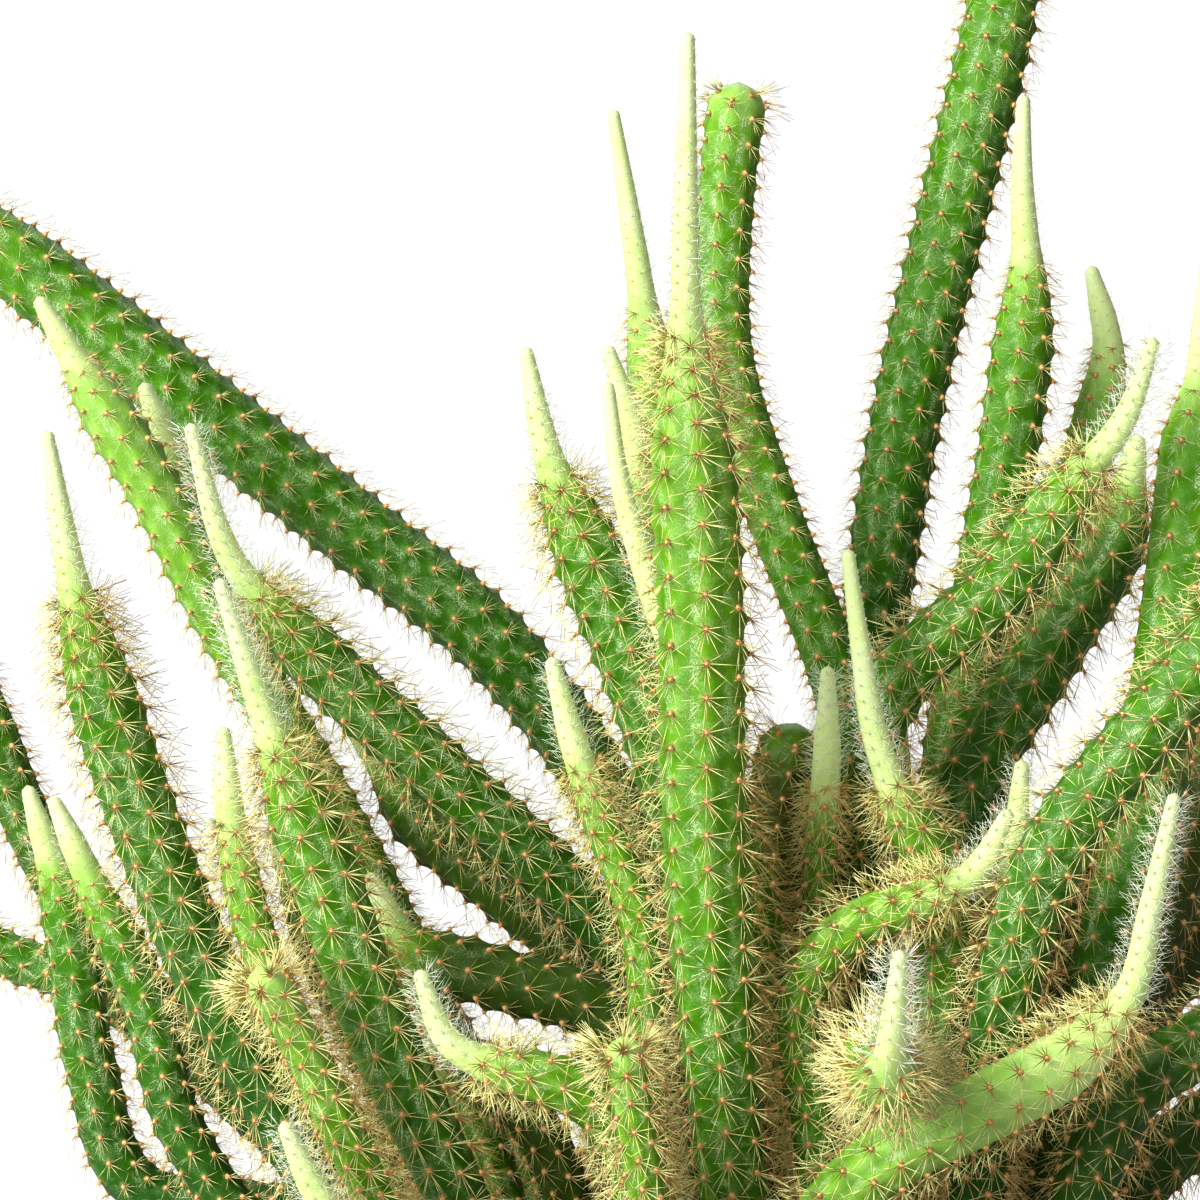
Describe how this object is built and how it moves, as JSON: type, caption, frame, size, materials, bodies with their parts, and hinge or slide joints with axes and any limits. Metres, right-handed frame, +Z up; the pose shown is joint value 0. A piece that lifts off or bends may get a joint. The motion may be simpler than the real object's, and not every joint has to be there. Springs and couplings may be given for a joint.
{
  "type": "potted rat tail cactus",
  "caption": "Clump of slim ribbed cactus stems with tufts of fine spines and thin pale upturned tips, in a plain round clay pot.",
  "frame": {"origin": "centre of the pot's underside", "axes": "+Z up, the front faces -Y, +X to the right seen from the front"},
  "size_m": [0.2432, 0.2171, 0.3481],
  "materials": {
    "clay": "matte",
    "soil": "matte",
    "stem": "satin",
    "spine": "satin"
  },
  "bodies": {
    "root": {"pot": "clay", "soil": "soil", "front_main": "stem", "left_outer": "stem", "left_front": "stem", "left_long": "stem", "back_left_long": "stem", "left_pale": "stem", "left_pale_behind": "stem", "far_left_up": "stem", "far_left_near": "stem", "far_left_dark": "stem", "far_left_level": "stem", "left_shoot": "stem", "left_blunt": "stem", "left_low_tip": "stem", "left_level": "stem", "front_blunt": "stem", "shade_left": "stem", "shade_left_low": "stem", "middle_left": "stem", "middle_shoot": "stem", "middle_behind": "stem", "middle_back": "stem", "behind_main": "stem", "shade_middle": "stem", "back_tall": "stem", "right_tall": "stem", "right_tall_behind": "stem", "right_long": "stem", "right_long_below": "stem", "right_edge": "stem", "right_spiny": "stem", "front_right": "stem", "facing": "stem", "front_arm": "stem", "right_upright": "stem", "right_shoot": "stem", "inner_shoot": "stem", "front_shoot": "stem", "shade_back_left": "stem", "right_level": "stem", "right_low": "stem", "right_shade": "stem", "back_right": "stem", "back_middle": "stem", "back_left": "stem", "front_low": "stem", "left_shade": "stem", "right_behind": "stem"}
  },
  "joints": []
}
